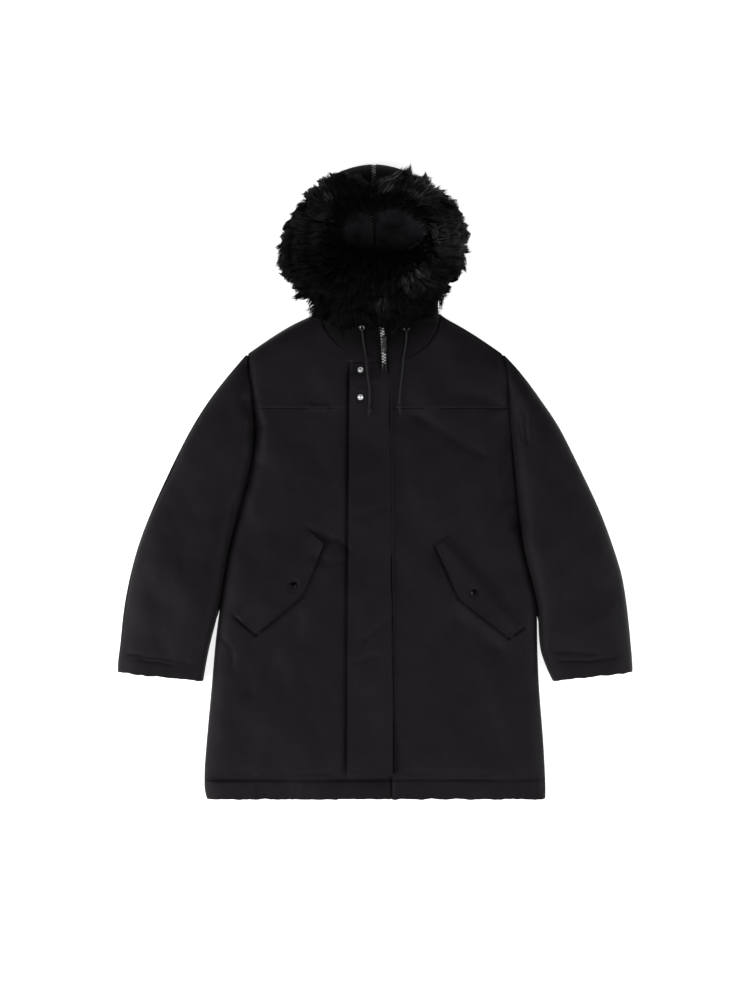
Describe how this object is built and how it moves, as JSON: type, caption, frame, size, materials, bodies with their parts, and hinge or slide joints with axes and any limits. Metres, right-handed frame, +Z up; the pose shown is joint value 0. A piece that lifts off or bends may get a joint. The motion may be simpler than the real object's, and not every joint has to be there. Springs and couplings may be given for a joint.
{
  "type": "padded parka laid flat",
  "caption": "Padded knee-length parka with fur-trimmed hood, storm flap, slanted pocket flaps and drawcords, laid flat on its back.",
  "frame": {"origin": "middle of the bounding box on the table", "axes": "+X to the wearer's left, +Y from the hem to the hood, +Z up from the table"},
  "size_m": [0.9567, 1.1779, 0.1049],
  "materials": {
    "shell_cloth": "black padded cloth, slightly satin",
    "fur": "black fur",
    "cord": "black braided cord",
    "silver_metal": "polished nickel",
    "zip_metal": "metal zip teeth on black tape",
    "dark_metal": "glossy black"
  },
  "bodies": {
    "garment": {"back": "shell_cloth", "front_right": "shell_cloth", "front_left": "shell_cloth", "yoke_right": "shell_cloth", "yoke_left": "shell_cloth", "sleeve_right_upper": "shell_cloth", "sleeve_right_under": "shell_cloth", "sleeve_left_upper": "shell_cloth", "sleeve_left_under": "shell_cloth", "hood_right": "shell_cloth", "hood_left": "shell_cloth", "hood_zip": "zip_metal", "ruff": "fur", "front_zip": "zip_metal", "fly_flap": "shell_cloth", "pocket_flap_right": "shell_cloth", "pocket_flap_left": "shell_cloth", "pocket_snap_right": "dark_metal", "pocket_snap_left": "dark_metal", "fly_snap_1": "silver_metal", "fly_snap_2": "silver_metal", "grommet_right": "silver_metal", "grommet_left": "silver_metal", "cord_right": "cord", "knot_right": "cord", "cord_left": "cord", "knot_left": "cord", "zip_slider": "silver_metal"},
    "pull_tab": {"zip_pull": "silver_metal"}
  },
  "joints": [
    {"name": "pull_tab_hinge", "type": "hinge", "parent": "garment", "child": "pull_tab", "pos_m": [0.0167, 0.262, 0.058], "axis": [-1, 0, 0], "range_deg": [0, 125]}
  ]
}
